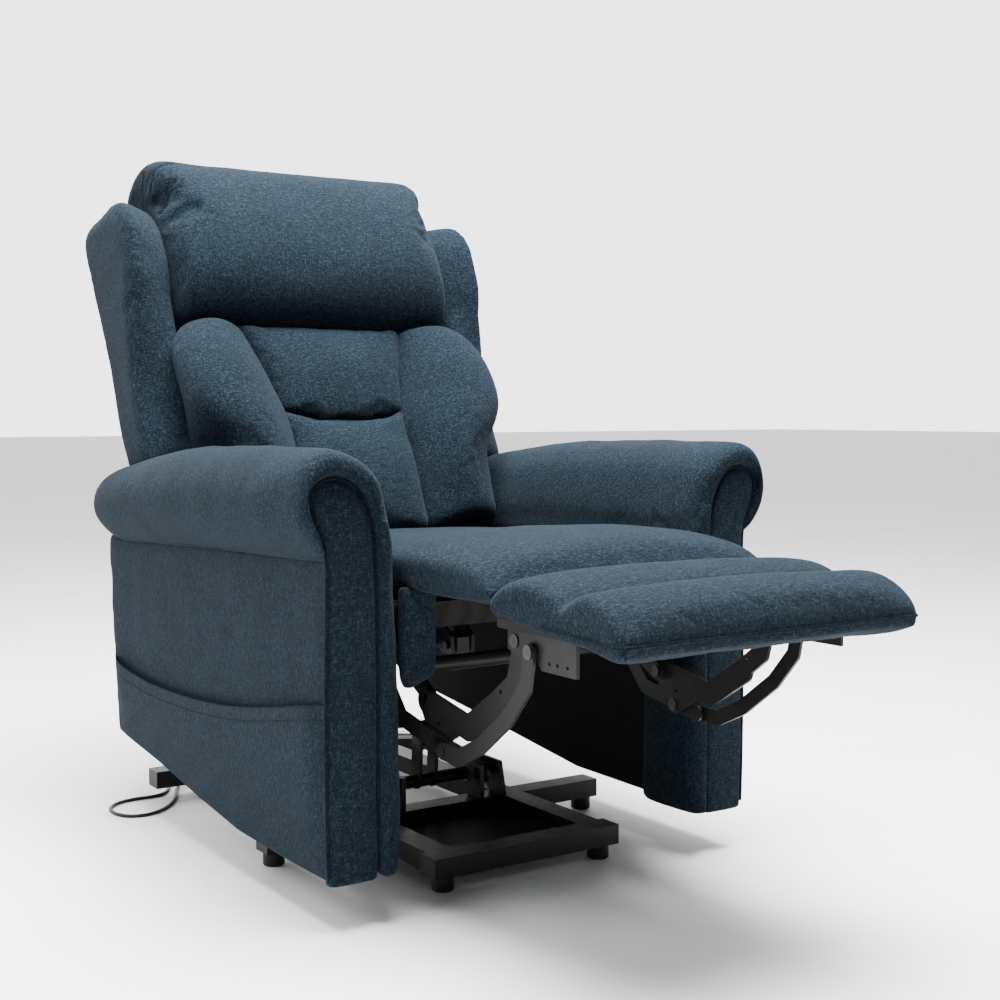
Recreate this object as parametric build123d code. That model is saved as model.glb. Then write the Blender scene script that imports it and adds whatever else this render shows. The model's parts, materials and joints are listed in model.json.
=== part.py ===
from build123d import *
import math
import os

# Lift recliner chair, in millimetres.  X runs across the chair, Y from its front to its back,
# Z up from the floor.  Every Y below is counted from the front face of the arms; the origin
# is moved to the middle of the whole chair's footprint when the parts are written.
ORIGIN_Y = 289

# Overall driving dimensions
SEAT_HALF = 253            # half the seat cushion between the arms
ARM_IN = 272               # inner face of the arm's core
ARM_OUT = 355              # outer face of the arm's padded side
ROLL_X = 331               # middle of the rolled arm top
ROLL_HALF = 79             # half width of the rolled arm top
PIN_GAP = 0.05             # radial clearance of a pin in its hole

# Base frame of square-edged steel tube
FOOT_H = 22
FOOT_R = 16.5
BAR_TOP = 52
BAR_W = 40
WALL = 2.0
RAIL_X = 135               # middle of each side rail
FRONT_BAR_Y, FRONT_BAR_HALF = 80, 165
MID_BAR_Y, MID_BAR_HALF = 325, 310
REAR_BAR_Y, REAR_BAR_HALF = 792, 305

# Lift linkage: pivots as (y, z)
LIFT_LOW = (325, 90)
LIFT_TOP = (660, 130)
GUIDE_LOW = (360, 90)
GUIDE_TOP = (760, 140)
LIFT_ARM_X = (84, 92)
GUIDE_ARM_X = (100, 108)
LIFT_PIN_R = 7
GUIDE_OPEN_R = LIFT_PIN_R + 2.5    # the guide arm's top hole is wider than its pin
MOTOR_BACK = (740, 85)
LEVER_PIN = (360, 160)
LEVER_TUBE = (366, 81)
LEVER_PIN_R = 6
MOTOR_EAR_X = (16, 22)
EYE_OPEN_R = LEVER_PIN_R + 9       # the lift rod's eye is wider than its pin

# Footrest linkage: pivots as (y, z)
DRIVE_PIVOT = (138.13, 363.95)     # drive link on the mechanism plate
KNEE = (10.61, 293.68)             # drive link to long link
LONG_END = (-219, 405)             # long link to footrest bracket
MID_PIVOT = (-19.0, 246.76)        # long link to control link
CONTROL_TOP = (124.34, 333.47)     # control link on the mechanism plate
SLIM_END = (-259, 397)             # slim link to footrest bracket
SLIM_LOW = (MID_PIVOT[0] + SLIM_END[0] - LONG_END[0], MID_PIVOT[1] + SLIM_END[1] - LONG_END[1])
DRIVE_X = (196, 202)
LONG_X = (205, 211)
CONTROL_X = (214, 219)
SLIM_X = (221.5, 226.5)
PLATE_X = (229, 234)
LINK_PIN_R = 5
OPEN_PIN_CLEARANCE = 1.5

# Footrest and the hinged pad between seat and footrest
BOARD_Z = (421, 433)
FOOTREST_HALF = 240
BRIDGE_Y = (-188, -33)
BRIDGE_HINGE = (-45, 445)          # sewn bead under the pad's rear edge
BRIDGE_BEAD_R = 8

# Backrest: its own frame leans back about X from a point at the seat's rear
BACK_FOOT = (545, 481)
BACK_LEAN = 29.1
BACK_HINGE = (600, 400)
BACK_PIN_R = 8
BACK_LEVER_PIN = (620, 340)
BACK_MOTOR_FRONT = (260, 320)

# Mains lead
LEAD_D = 6.0

parts = {}


def keep(name, *shapes):
    """Store one sub-part in the chair's frame: one solid, or a group of separate ones."""
    placed = [Location((0, -ORIGIN_Y, 0)) * shape for shape in shapes]
    parts[name] = placed[0] if len(placed) == 1 else Compound(placed)


def block(x, y, z):
    """Box between two corners given as (low, high) pairs."""
    size = (x[1] - x[0], y[1] - y[0], z[1] - z[0])
    centre = ((x[0] + x[1]) / 2, (y[0] + y[1]) / 2, (z[0] + z[1]) / 2)
    return Pos(*centre) * Box(*size)


def soft_block(x, y, z, radius):
    """Box with all its edges rounded."""
    shape = block(x, y, z)
    return fillet(shape.edges(), radius)


def side(sign, near, far):
    """X range on one side of the chair, sorted from low to high."""
    return tuple(sorted((sign * near, sign * far)))


def across(sketch, x):
    """Extrude a (y, z) sketch across the chair between two X values."""
    return extrude(Plane.YZ.offset(x[0]) * sketch, amount=x[1] - x[0])


def outline(*points):
    """Closed straight-sided (u, v) face."""
    return make_face(Polyline(*points, close=True))


def strip(points, width):
    """Flat link outline: straight runs of one width with round ends and corners."""
    face = Sketch()
    for start, end in zip(points, points[1:]):
        du, dv = end[0] - start[0], end[1] - start[1]
        run = Rot(0, 0, math.degrees(math.atan2(dv, du))) * Rectangle(math.hypot(du, dv), width)
        face += Pos((start[0] + end[0]) / 2, (start[1] + end[1]) / 2) * run
    for point in points:
        face += Pos(*point) * Circle(width / 2)
    return face


def hole(point, radius):
    return Pos(*point) * Circle(radius)


def pin(point, x, radius):
    """Round bar across the chair at a (y, z) point."""
    return across(hole(point, radius), x)


def headed_pin(sign, point, ends, radius, head=3.0, flange=4.0):
    """Pin on one side of the chair with a flat head just outside each end."""
    low, high = ends
    shape = pin(point, side(sign, low - head, high + head), radius)
    shape += pin(point, side(sign, low - head, low), radius + flange)
    shape += pin(point, side(sign, high, high + head), radius + flange)
    return shape


def tube_along_x(y, half, top=BAR_TOP, width=BAR_W, height=BAR_TOP - FOOT_H):
    outer = block((-half, half), (y - width / 2, y + width / 2), (top - height, top))
    inner_y = (y - width / 2 + WALL, y + width / 2 - WALL)
    inner = block((-half, half), inner_y, (top - height + WALL, top - WALL))
    return outer - inner


def in_back(shape):
    """Move a shape from the upright backrest frame (x, depth, height) to its leaning place."""
    return Location((0, BACK_FOOT[0], BACK_FOOT[1]), (-BACK_LEAN, 0, 0)) * shape


def back_prism(points, x):
    """Backrest piece: (forward, height) outline extruded across X, then leaned back."""
    return in_back(across(outline(*[(-forward, height) for forward, height in points]), x))


def back_panel(points, forward):
    """Backrest piece: (x, height) outline extruded between two forward depths, then leaned back."""
    low, high = forward
    return in_back(extrude(Plane.XZ.offset(low) * outline(*points), amount=high - low))


def mirrored(shape):
    return mirror(shape, about=Plane.YZ)


# ---------------------------------------------------------------- base

def make_base():
    keep("base_front_bar", tube_along_x(FRONT_BAR_Y, FRONT_BAR_HALF))
    keep("base_mid_bar", tube_along_x(MID_BAR_Y, MID_BAR_HALF))
    keep("base_rear_bar", tube_along_x(REAR_BAR_Y, REAR_BAR_HALF))

    half = BAR_W / 2
    bays = [(FRONT_BAR_Y + half, MID_BAR_Y - half), (MID_BAR_Y + half, REAR_BAR_Y - half)]
    rails = []
    for sign in (-1, 1):
        for bay in bays:
            outer = block(side(sign, RAIL_X - half, RAIL_X + half), bay, (FOOT_H, BAR_TOP))
            inner_x = side(sign, RAIL_X - half + WALL, RAIL_X + half - WALL)
            rails.append(outer - block(inner_x, bay, (FOOT_H + WALL, BAR_TOP - WALL)))
    keep("base_side_rails", *rails)

    tray_y = (130, 296)
    keep("base_tray", block((-RAIL_X + half, RAIL_X - half), tray_y, (30, 32)))

    feet = []
    for x, y in ((140, FRONT_BAR_Y), (290, MID_BAR_Y), (205, REAR_BAR_Y)):
        for sign in (-1, 1):
            foot = Pos(sign * x, y, FOOT_H / 2) * Cylinder(FOOT_R, FOOT_H)
            feet.append(chamfer(foot.edges().group_by(Axis.Z)[0], 2))
    keep("levelling_feet", *feet)

    caps = []
    for y, reach in ((FRONT_BAR_Y, FRONT_BAR_HALF), (MID_BAR_Y, MID_BAR_HALF), (REAR_BAR_Y, REAR_BAR_HALF)):
        for sign in (-1, 1):
            plug_x = side(sign, reach - 12, reach)
            caps.append(
                block(plug_x, (y - half + WALL, y + half - WALL), (FOOT_H + WALL, BAR_TOP - WALL))
            )
    keep("tube_end_plugs", *caps)

    ears = []
    low_z = LIFT_LOW[1]
    guide_z = GUIDE_LOW[1]
    for sign in (-1, 1):
        inner = outline((305, BAR_TOP), (345, BAR_TOP), (345, low_z + 16), (305, low_z + 16))
        ears.append(across(inner - hole(LIFT_LOW, LIFT_PIN_R + PIN_GAP), side(sign, 70, 78)))
        outer = outline((305, BAR_TOP), (345, BAR_TOP), (378, 78), (378, guide_z + 16), (318, guide_z + 16))
        ears.append(across(outer - hole(GUIDE_LOW, LIFT_PIN_R + PIN_GAP), side(sign, 114, 122)))
    motor_z = MOTOR_BACK[1]
    bracket = outline(
        (772, 26), (772, BAR_TOP), (760, motor_z + 12), (726, motor_z + 12), (726, motor_z - 14)
    )
    for sign in (-1, 1):
        ears.append(across(bracket - hole(MOTOR_BACK, LEVER_PIN_R + PIN_GAP), side(sign, *MOTOR_EAR_X)))
    keep("base_pivot_ears", *ears)

    pins = [pin(MOTOR_BACK, (-25, 25), LEVER_PIN_R)]
    for sign in (-1, 1):
        pins.append(headed_pin(sign, LIFT_LOW, (70, 92.5), LIFT_PIN_R))
        pins.append(headed_pin(sign, GUIDE_LOW, (99.6, 122), LIFT_PIN_R, head=2.5))
    keep("base_pivot_pins", *pins)


# ---------------------------------------------------------------- lift linkage

def make_lift_linkage():
    arm = strip([LIFT_LOW, LIFT_TOP], 34)
    arm -= hole(LIFT_LOW, LIFT_PIN_R + PIN_GAP)
    arm -= hole(LIFT_TOP, LIFT_PIN_R + PIN_GAP)
    keep("lift_arms", *[across(arm, side(sign, *LIFT_ARM_X)) for sign in (-1, 1)])

    lever = strip([LEVER_TUBE, LEVER_PIN], 26)
    weldment = pin(LEVER_TUBE, (-LIFT_ARM_X[0], LIFT_ARM_X[0]), 11)
    for sign in (-1, 1):
        weldment += across(lever, side(sign, 12, 18))
    weldment += pin(LEVER_PIN, (-20, 20), LEVER_PIN_R)
    keep("lift_cross_tube", weldment)

    guide = strip([GUIDE_LOW, GUIDE_TOP], 30)
    guide -= hole(GUIDE_LOW, LIFT_PIN_R + PIN_GAP)
    guide -= hole(GUIDE_TOP, GUIDE_OPEN_R)
    keep("guide_arms", *[across(guide, side(sign, *GUIDE_ARM_X)) for sign in (-1, 1)])


def linear_motor(rear, front, rear_pin_r, eye_r, body_from, body_to, rod_tail, body_r=21, can_side=1):
    """Screw motor between two (y, z) points: its housing with the motor can, and its rod."""
    length = math.hypot(front[0] - rear[0], front[1] - rear[1])
    tilt = math.degrees(math.atan2(front[1] - rear[1], front[0] - rear[0]))
    place = Location((0, rear[0], rear[1]), (tilt, 0, 0))
    rod_r = 9

    def barrel(radius, start, end):
        face = Plane((0, start, 0), x_dir=(1, 0, 0), z_dir=(0, 1, 0)) * Circle(radius)
        return extrude(face, amount=end - start)

    housing = barrel(body_r, body_from, body_to)
    housing += Pos(0, (body_from - 14) / 2, 0) * Box(22, body_from + 16, 26)
    housing += Pos(can_side * 34, body_from + 26, 0) * Box(40, 40, 36)
    housing += Pos(can_side * 44, 0, 0) * barrel(17, body_from + 40, body_from + 120)
    housing -= barrel(rod_r + 0.4, body_from + 20, body_to + 1)
    housing -= Rot(0, 90, 0) * Cylinder(rear_pin_r + PIN_GAP, 60)

    rod = barrel(rod_r, length - rod_tail, length - eye_r - 3)
    eye = Pos(0, length, 0) * Rot(0, 90, 0) * Cylinder(eye_r + 7, 22)
    rod = rod + eye - Pos(0, length, 0) * Rot(0, 90, 0) * Cylinder(eye_r, 30)
    return place * housing, place * rod


def make_motors():
    housing, rod = linear_motor(MOTOR_BACK, LEVER_PIN, 6, EYE_OPEN_R, 26, 250, 270)
    keep("lift_motor", housing)
    keep("lift_motor_rod", rod)
    housing, rod = linear_motor(BACK_MOTOR_FRONT, BACK_LEVER_PIN, 6, LEVER_PIN_R + 2.5, 62, 240, 220, 19, -1)
    keep("back_motor", housing)
    keep("back_motor_rod", rod)


# ---------------------------------------------------------------- mechanism frame under the seat

def make_chassis():
    plate = outline(
        (95, 312), (95, 421), (624, 421), (690, 330), (722, 318), (722, 282), (676, 282), (560, 350)
    )
    plate -= hole(DRIVE_PIVOT, LINK_PIN_R + PIN_GAP)
    plate -= hole(CONTROL_TOP, LINK_PIN_R + PIN_GAP)
    plate -= hole(BACK_HINGE, BACK_PIN_R + PIN_GAP)
    keep("mechanism_plates", *[across(plate, side(sign, *PLATE_X)) for sign in (-1, 1)])

    tubes = []
    for y, z in ((330, 372), (700, 300)):
        reach = (-PLATE_X[0], PLATE_X[0])
        outer = block(reach, (y - 15, y + 15), (z - 15, z + 15))
        tubes.append(outer - block(reach, (y - 13, y + 13), (z - 13, z + 13)))
    keep("mechanism_cross_tubes", *tubes)

    hangers = []
    for sign in (-1, 1):
        inner = strip([LIFT_TOP, (690, 262)], 38) - hole(LIFT_TOP, LIFT_PIN_R + PIN_GAP)
        inner &= outline((600, 60), (800, 60), (800, 285), (600, 285))
        hangers.append(across(inner, side(sign, 72, 80)))
        outer = strip([GUIDE_TOP, (705, 262)], 38) - hole(GUIDE_TOP, LIFT_PIN_R + PIN_GAP)
        outer &= outline((600, 60), (800, 60), (800, 285), (600, 285))
        hangers.append(across(outer, side(sign, 112, 120)))
    front_y, front_z = BACK_MOTOR_FRONT
    ear = outline(
        (315, 360), (315, 385), (front_y - 14, front_z + 14), (front_y - 14, front_z - 14),
        (front_y + 14, front_z - 14)
    )
    for sign in (-1, 1):
        hangers.append(across(ear - hole(BACK_MOTOR_FRONT, LEVER_PIN_R + PIN_GAP), side(sign, *MOTOR_EAR_X)))
    keep("mechanism_hangers", *hangers)

    pins = [pin(BACK_MOTOR_FRONT, (-25, 25), LEVER_PIN_R)]
    for sign in (-1, 1):
        pins.append(headed_pin(sign, LIFT_TOP, (72, 92.5), LIFT_PIN_R))
        pins.append(headed_pin(sign, GUIDE_TOP, (99.5, 120), LIFT_PIN_R))
        pins.append(headed_pin(sign, BACK_HINGE, (221.6, 234), BACK_PIN_R, head=4, flange=5))
        for point, inner in ((DRIVE_PIVOT, DRIVE_X[0]), (CONTROL_TOP, CONTROL_X[0])):
            pins.append(headed_pin(sign, point, (inner - 0.3, PLATE_X[1]), LINK_PIN_R, 2.5))
    keep("mechanism_pins", *pins)


def make_seat():
    rail_out = 255.8
    rails = [
        block((-PLATE_X[1], PLATE_X[1]), (22, 50), (390, 425)),
        block((-228, 228), (530, 558), (392, 425)),
    ]
    for sign in (-1, 1):
        rails.append(block(side(sign, PLATE_X[1] + 0.3, rail_out), (22, 558), (390, 425)))
    keep("seat_rails", *rails)

    straps = [block((-rail_out, rail_out), (y, y + 50), (425, 427)) for y in range(70, 520, 82)]
    keep("seat_webbing", *straps)

    bottom = 428
    profile = outline(
        (-30, 451), (18, 451), (30, bottom), (562, bottom), (562, 452),
        (500, 457), (430, 482), (300, 496), (60, 500), (-18, 496), (-30, 480),
    )
    keep("seat_cushion", across(profile, (-SEAT_HALF, SEAT_HALF)))

    cheeks = []
    for sign in (-1, 1):
        cheeks.append(soft_block(side(sign, 197, 252), (-8, 18), (318, 448), 9))
    keep("seat_cheeks", *cheeks)

    bridge = soft_block((-FOOTREST_HALF, FOOTREST_HALF), BRIDGE_Y, (452, 494), 14)
    bridge += pin(BRIDGE_HINGE, (-FOOTREST_HALF + 20, FOOTREST_HALF - 20), BRIDGE_BEAD_R)
    keep("bridge_pad", bridge)


# ---------------------------------------------------------------- arms

def roll_section(y, top, bottom):
    centre = Plane.XZ.offset(-y)
    return centre * Pos(0, (top + bottom) / 2) * Ellipse(ROLL_HALF, (top - bottom) / 2)


def make_arm(sign):
    label = "left" if sign < 0 else "right"
    seam = [(0, 489), (220, 480), (440, 472), (868, 457)]
    low = [(855, 330), (833, 132), (826, 124), (625, 104), (303, 63), (6, 62), (0, 70)]
    profile = outline(*seam, *low)
    keep(f"{label}_arm_side", across(profile, side(sign, 336, ARM_OUT)))

    stations = [
        (-4, 640, 492), (170, 641, 484), (350, 638, 477), (500, 628, 472), (670, 605, 466), (815, 580, 461),
        (862, 545, 460)
    ]
    roll = loft([roll_section(*station) for station in stations], ruled=True)
    keep(f"{label}_arm_roll", Pos(sign * ROLL_X, 0, 0) * roll)

    wall = 3
    gap = 7
    pocket = outline(
        (45, 130), (45, 300), (160, 277), (300, 258), (450, 244), (620, 240), (780, 250), (780, 160)
    )
    hollow = outline((58, 143), (58, 320), (767, 320), (767, 172))
    shell = across(pocket, side(sign, ARM_OUT, ARM_OUT + wall + gap))
    shell -= across(hollow, side(sign, ARM_OUT, ARM_OUT + gap))
    keep(f"{label}_arm_pocket", shell)


def make_arms():
    for sign in (-1, 1):
        make_arm(sign)

    frames, linings, fronts, bands = [], [], [], []
    board = outline(
        (14, 486), (440, 468), (846, 452), (838, 330), (818, 136), (625, 118), (303, 78), (14, 78)
    )
    lining = outline(
        (122, 504), (350, 497), (560, 485), (800, 440), (800, 140), (625, 120), (303, 80), (122, 78)
    )
    front = outline(
        (280, 72), (348, 72), (353, 500), (372, 520), (384, 548),
        (376, 582), (346, 600), (312, 592), (290, 566), (286, 520),
    )
    band = outline((0, 74), (120, 76), (120, 504), (0, 506))
    for sign in (-1, 1):
        frames.append(across(board, side(sign, 322, 335.6)))
        linings.append(across(lining, side(sign, ARM_IN - 6, ARM_IN)))
        panel = extrude(Plane.XZ.offset(5) * front, amount=10)
        fronts.append(panel if sign > 0 else mirrored(panel))
        bands.append(across(band, side(sign, 256.5, ARM_IN)))
        for y in ((14, 54), (760, 800)):
            top = 478 if y[0] < 100 else 448
            frames.append(block(side(sign, ARM_IN + 0.4, 321.6), y, (150, top)))
    keep("arm_frames", *frames)
    keep("arm_inner_linings", *linings)
    keep("arm_front_panels", *fronts)
    keep("arm_inner_bands", *bands)


# ---------------------------------------------------------------- footrest

def make_footrest():
    drive = strip([DRIVE_PIVOT, KNEE], 26)
    drive -= hole(DRIVE_PIVOT, LINK_PIN_R + PIN_GAP)
    drive -= hole(KNEE, LINK_PIN_R + PIN_GAP)
    keep("footrest_drive_links", *[across(drive, side(sign, *DRIVE_X)) for sign in (-1, 1)])
    middle = ((DRIVE_PIVOT[0] + KNEE[0]) / 2, (DRIVE_PIVOT[1] + KNEE[1]) / 2)
    keep("footrest_drive_tube", pin(middle, (-DRIVE_X[0], DRIVE_X[0]), 11))

    long_link = strip([LONG_END, (-203, 348), (-168, 322)], 28) + strip([(-168, 318), (-98, 274), KNEE], 34)
    long_link += strip([(-60, 268), MID_PIVOT, KNEE], 28)
    for point in (LONG_END, MID_PIVOT, KNEE):
        long_link -= hole(point, LINK_PIN_R + PIN_GAP)
    long_link -= hole((-176, 335), 3)
    keep("footrest_long_links", *[across(long_link, side(sign, *LONG_X)) for sign in (-1, 1)])

    control = strip([SLIM_LOW, MID_PIVOT, (60, 262), CONTROL_TOP], 24)
    control -= hole(MID_PIVOT, LINK_PIN_R + PIN_GAP)
    control -= hole(CONTROL_TOP, LINK_PIN_R + OPEN_PIN_CLEARANCE)
    controls = []
    for sign in (-1, 1):
        rivet = pin(SLIM_LOW, side(sign, CONTROL_X[0], SLIM_X[1] + 2.3), LINK_PIN_R)
        rivet += pin(SLIM_LOW, side(sign, SLIM_X[1] + 0.3, SLIM_X[1] + 2.3), LINK_PIN_R + 4)
        controls.append(across(control, side(sign, *CONTROL_X)) + rivet)
    keep("footrest_control_links", *controls)

    slim = strip([SLIM_END, (-250, 352), (-212, 308), (-150, 262), (-100, 238), SLIM_LOW], 22)
    slim -= hole(SLIM_LOW, LINK_PIN_R + PIN_GAP)
    slim -= hole(SLIM_END, LINK_PIN_R + OPEN_PIN_CLEARANCE)
    keep("footrest_slim_links", *[across(slim, side(sign, *SLIM_X)) for sign in (-1, 1)])

    bracket = outline(
        (-345, BOARD_Z[0]), (-204, BOARD_Z[0]), (-204, 394), (-232, 384), (-268, 384), (-276, 376),
        (-345, 376)
    )
    bracket -= hole(LONG_END, LINK_PIN_R + PIN_GAP)
    bracket -= hole(SLIM_END, LINK_PIN_R + PIN_GAP)
    for y in (-292, -308, -328):
        bracket -= hole((y, 387), 2.5)
    keep("footrest_brackets", *[across(bracket, side(sign, *CONTROL_X)) for sign in (-1, 1)])

    link_pins, bracket_pins = [], []
    for sign in (-1, 1):
        link_pins.append(headed_pin(sign, KNEE, (DRIVE_X[0] - 0.2, LONG_X[1]), LINK_PIN_R, 2.4))
        link_pins.append(headed_pin(sign, MID_PIVOT, (LONG_X[0], CONTROL_X[1] + 0.1), LINK_PIN_R, 2))
        bracket_pins.append(headed_pin(sign, LONG_END, (LONG_X[0] - 0.3, CONTROL_X[1]), LINK_PIN_R, 2))
        bracket_pins.append(headed_pin(sign, SLIM_END, (CONTROL_X[0], SLIM_X[1] + 0.3), LINK_PIN_R, 2))
    keep("long_link_pins", *link_pins)
    keep("footrest_bracket_pins", *bracket_pins)

    keep("footrest_board", block((-FOOTREST_HALF + 8, FOOTREST_HALF - 8), (-436, -200), BOARD_Z))
    pad_z = BOARD_Z[1] + 0.4
    profile = outline(
        (-194, pad_z), (-194, 474), (-210, 482), (-312, 478), (-332, 466), (-350, 476),
        (-400, 474), (-440, 462), (-457, 446), (-452, 414), (-440, 411), (-436.5, 411), (-436.5, pad_z),
    )
    keep("footrest_pad", across(profile, (-FOOTREST_HALF, FOOTREST_HALF)))


# ---------------------------------------------------------------- backrest

def make_backrest():
    frame = [in_back(block(side(sign, 192, 221.8), (86, 120), (-20, 660))) for sign in (-1, 1)]
    for height in ((2, 46), (300, 340), (610, 655)):
        frame.append(in_back(block((-191.8, 191.8), (88, 118), height)))
    keep("back_frame", *frame)

    hinges = []
    hinge_forward, hinge_height = to_back(BACK_HINGE)
    for sign in (-1, 1):
        strap = strip([(-hinge_forward, hinge_height), (-hinge_forward + 14, 70)], 30)
        strap -= hole((-hinge_forward, hinge_height), BACK_PIN_R + PIN_GAP)
        hinges.append(in_back(across(strap, side(sign, 222, 227))))
    keep("back_hinge_straps", *hinges)

    pin_forward, pin_height = to_back(BACK_LEVER_PIN)
    lever = strip([(-pin_forward, pin_height), (103, 20)], 26)
    weldment = across(lever, (-18, -12)) + across(lever, (12, 18))
    weldment += pin((-pin_forward, pin_height), (-20, 20), LEVER_PIN_R)
    weldment -= block((-30, 30), (87.8, 118.2), (1.8, 46.2))
    weldment &= block((-40, 40), (60, 200), (-200, 1.8))
    keep("back_lever", in_back(weldment))

    cover = [(-248, 6), (248, 6), (248, 214), (270, 230), (270, 700), (225, 745), (-225, 745), (-270, 700),
             (-270, 230), (-248, 214)]
    keep("back_rear_cover", back_panel(cover, (-146, -124)))

    wing = [(-146, 232), (-146, 650), (-128, 682), (-60, 694), (-8, 676), (18, 640), (44, 560), (54, 490),
            (42, 400), (-20, 262), (-46, 212), (-60, 194)]
    keep("left_wing", back_prism(wing, side(-1, 274, 342)))
    keep("right_wing", back_prism(wing, side(1, 274, 342)))

    headrest = [(-78, 408), (8, 408), (58, 428), (88, 490), (92, 580), (72, 660), (40, 715), (-10, 745),
                (-80, 752), (-120, 735), (-120, 672), (-78, 664)]
    keep("headrest", back_prism(headrest, (-268, 268)))

    lobe = [(122, 8), (249, 8), (249, 155), (266, 220), (270, 300), (252, 372), (200, 398), (162, 398),
            (121, 228), (119, 130)]
    for sign, label in ((-1, "left"), (1, "right")):
        points = [(sign * x, height) for x, height in lobe]
        keep(f"{label}_back_lobe", back_panel(points, (-70, 70)))
    upper = [(-118, 229), (118, 229), (159, 398), (-159, 398)]
    lower = [(-119, 8), (119, 8), (116, 130), (118, 228), (-118, 228), (-116, 130)]
    keep("centre_back_pads", *[back_panel(points, (-70, 12)) for points in (upper, lower)])


def to_back(point):
    """(forward, height) in the upright backrest frame of a (y, z) point."""
    lean = math.radians(BACK_LEAN)
    dy, dz = point[0] - BACK_FOOT[0], point[1] - BACK_FOOT[1]
    return -dy * math.cos(lean) + dz * math.sin(lean), dy * math.sin(lean) + dz * math.cos(lean)


# ---------------------------------------------------------------- power supply and mains lead

SUPPLY_X = (-172, -92)
SUPPLY_Y = (812, 884)
SUPPLY_Z = (24, 62)
LEAD_EXIT = (-184, 862, 34)
COIL = (-110, 948)         # middle of the put-away coil on the floor
COIL_IN_R, COIL_OUT_R = 23.5, 42.5
COIL_H = 19
FLOOR_Z = 3.1              # height of the lead's middle on the floor
PLUG_END = (-20, 942)

# The lead's route from the power supply to the coil, as (x, y, z)
LEAD_ROUTE = [
    LEAD_EXIT,
    (-204, 862.5, 31),
    (-222, 858, 15),
    (-238, 845, FLOOR_Z),
    (-252, 818, FLOOR_Z),
    (-266, 783, FLOOR_Z),
    (-284, 747, FLOOR_Z),
    (-310, 713, FLOOR_Z),
    (-346, 688, FLOOR_Z),
    (-381, 692, FLOOR_Z),
    (-398, 722, FLOOR_Z),
    (-396, 762, FLOOR_Z),
    (-372, 791, FLOOR_Z),
    (-336, 801, FLOOR_Z),
    (-300, 797, FLOOR_Z),
    (-272, 812, FLOOR_Z),
    (-255, 845, FLOOR_Z),
    (-240, 885, FLOOR_Z),
    (-212, 915, FLOOR_Z),
    (-180, 935, FLOOR_Z),
    (-153.5, 941, FLOOR_Z),
]
# From the coil to the plug
LEAD_TAIL = [
    (-67.5, 947, FLOOR_Z),
    (-53, 946, 4.4),
    (-38, 943.5, 8),
    (PLUG_END[0], PLUG_END[1], 11),
]


def lead_tube(points, label):
    """Tube of straight runs joined by arcs as large as the two runs at each point allow."""
    corners = [Vector(*point) for point in points]
    radii = []
    for before, here, after in zip(corners, corners[1:], corners[2:]):
        first, second = here - before, after - here
        turn = math.radians(first.get_angle(second))
        radii.append(0.45 * min(first.length, second.length) / math.tan(turn / 2))
    print(label, "radii", [round(radius, 1) for radius in radii])
    path = FilletPolyline(*points, radius=radii)
    start = Plane(origin=points[0], z_dir=corners[1] - corners[0])
    tube = sweep(start * Circle(LEAD_D / 2), path=path)
    print(label, "length", round(path.length, 1), "volume ratio",
          round(tube.volume / (math.pi * LEAD_D ** 2 / 4 * path.length), 4))
    return tube


def make_supply_and_lead():
    box = soft_block(SUPPLY_X, SUPPLY_Y, SUPPLY_Z, 4)
    keep("power_supply", box)
    relief_plane = Plane(origin=(SUPPLY_X[0], LEAD_EXIT[1], LEAD_EXIT[2]), z_dir=(-1, 0, 0))
    relief = extrude(relief_plane * Circle(6), amount=SUPPLY_X[0] - LEAD_EXIT[0], taper=8)
    keep("lead_strain_relief", relief)

    keep("mains_lead", lead_tube(LEAD_ROUTE, "lead"), lead_tube(LEAD_TAIL, "tail"))
    ring = Cylinder(COIL_OUT_R, COIL_H) - Cylinder(COIL_IN_R, COIL_H)
    keep("lead_coil", Pos(COIL[0], COIL[1], COIL_H / 2 + 0.1) * ring)

    x, y = PLUG_END
    body = block((x, x + 38), (y - 19, y + 19), (1, 27))
    body = fillet(body.edges(), 5)
    body += block((x + 37, x + 56), (y - 12, y - 6), (11, 15))
    body += block((x + 37, x + 56), (y + 6, y + 12), (11, 15))
    body += block((x + 37, x + 58), (y - 2, y + 2), (18, 25))
    keep("mains_plug", body)


make_base()
make_lift_linkage()
make_motors()
make_chassis()
make_seat()
make_arms()
make_footrest()
make_backrest()
make_supply_and_lead()

os.makedirs("parts", exist_ok=True)
for name, shape in parts.items():
    export_step(shape, f"parts/{name}.step")
print(len(parts), "sub-parts")
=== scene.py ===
"""Looks of a lift recliner chair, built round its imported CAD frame. Outlines and sizes are in millimetres."""

import json
import math

import bmesh
import bpy
import numpy as np
from mathutils import Matrix, Vector, noise
from mathutils.bvhtree import BVHTree


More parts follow.
